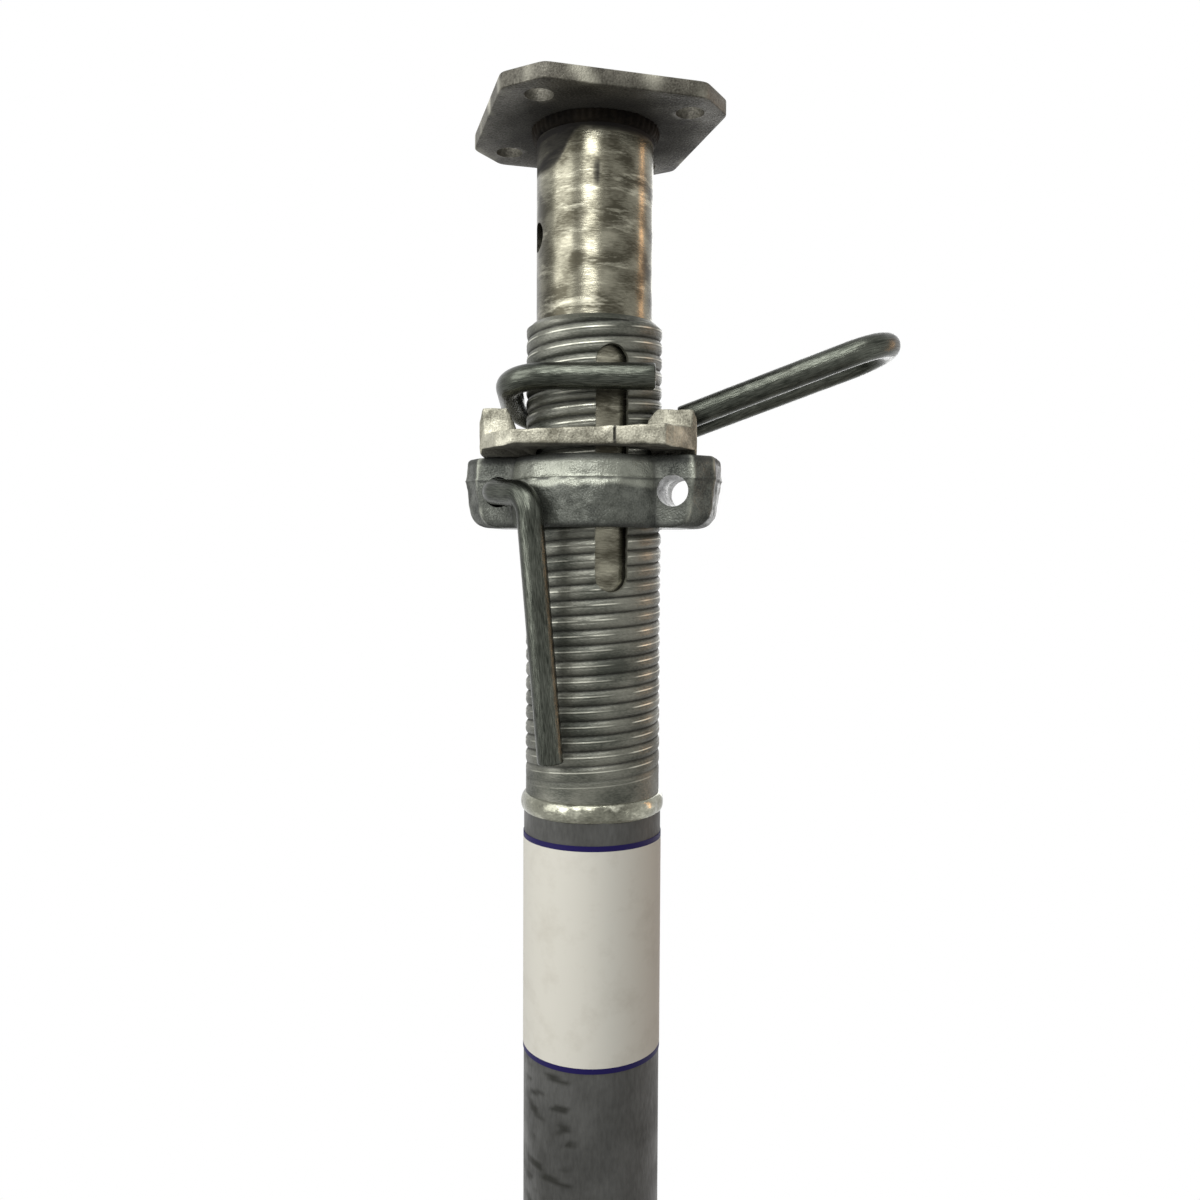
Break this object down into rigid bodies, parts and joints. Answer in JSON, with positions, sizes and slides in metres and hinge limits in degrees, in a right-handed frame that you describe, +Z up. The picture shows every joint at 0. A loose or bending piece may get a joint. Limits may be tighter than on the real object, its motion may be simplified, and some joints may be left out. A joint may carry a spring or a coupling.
{
  "type": "adjustable steel prop",
  "caption": "Telescopic steel shoring prop with bolted end plates, a threaded sleeve, a collar nut with a swing handle, a lowering ring and a parked G-hook.",
  "frame": {"origin": "centre of the foot plate's underside", "axes": "+Z up along the prop; X and Y along the plate edges, with the sleeve's slots facing -Y and +Y"},
  "size_m": [0.2315, 0.1259, 1.98],
  "materials": {
    "plate_zinc": "hot-dip galvanised plate, mottled satin",
    "weld_bead": "galvanised weld bead, lumpy",
    "outer_tube_zinc": "dull blue-grey galvanised tube",
    "sleeve_zinc": "matt galvanised rolled thread",
    "label_film": "blank white film label with a thin dark border",
    "ring_steel": "plain spring steel",
    "inner_tube_zinc": "bright galvanised tube with drawn bands",
    "ring_casting": "galvanised casting, coarse sparkle",
    "nut_casting": "galvanised casting, green-grey sheen",
    "bar_zinc": "galvanised round bar, dark gloss"
  },
  "bodies": {
    "base_tube": {"foot_plate": "plate_zinc", "foot_weld": "weld_bead", "outer_tube": "outer_tube_zinc", "joint_weld": "weld_bead", "threaded_sleeve": "sleeve_zinc", "tube_label": "label_film"},
    "stop": {"stop_ring": "ring_steel"},
    "post": {"inner_tube": "inner_tube_zinc", "head_plate": "plate_zinc", "head_weld": "weld_bead"},
    "ring": {"lowering_ring": "ring_casting"},
    "nut": {"collar_nut": "nut_casting"},
    "handle": {"nut_handle": "bar_zinc"},
    "hook": {"g_hook": "bar_zinc"}
  },
  "joints": [
    {"name": "tube_slide", "type": "slide", "parent": "base_tube", "child": "stop", "axis": [0, 0, 1], "range_m": [0, 1.52]},
    {"name": "post_turn", "type": "hinge", "parent": "stop", "child": "post", "pos_m": [0, 0, 1], "axis": [0, 0, 1], "continuous": true},
    {"name": "collar_travel", "type": "slide", "parent": "base_tube", "child": "ring", "axis": [0, 0, 1], "range_m": [-0.081, 0.0245]},
    {"name": "nut_turn", "type": "hinge", "parent": "ring", "child": "nut", "pos_m": [0, 0, 1.757], "axis": [0, 0, 1], "range_deg": [-1800, 540]},
    {"name": "handle_swing", "type": "hinge", "parent": "nut", "child": "handle", "pos_m": [-0.04198, 0.02327, 1.7763], "axis": [0.4848, 0.8746, 0], "range_deg": [-5, 125]},
    {"name": "hook_lift", "type": "slide", "parent": "ring", "child": "hook", "axis": [0, 0, 1], "range_m": [0, 0.025]}
  ],
  "couplings": [
    {"joint": "collar_travel", "follows": "nut_turn", "m_per_rad": 0.0025465}
  ]
}
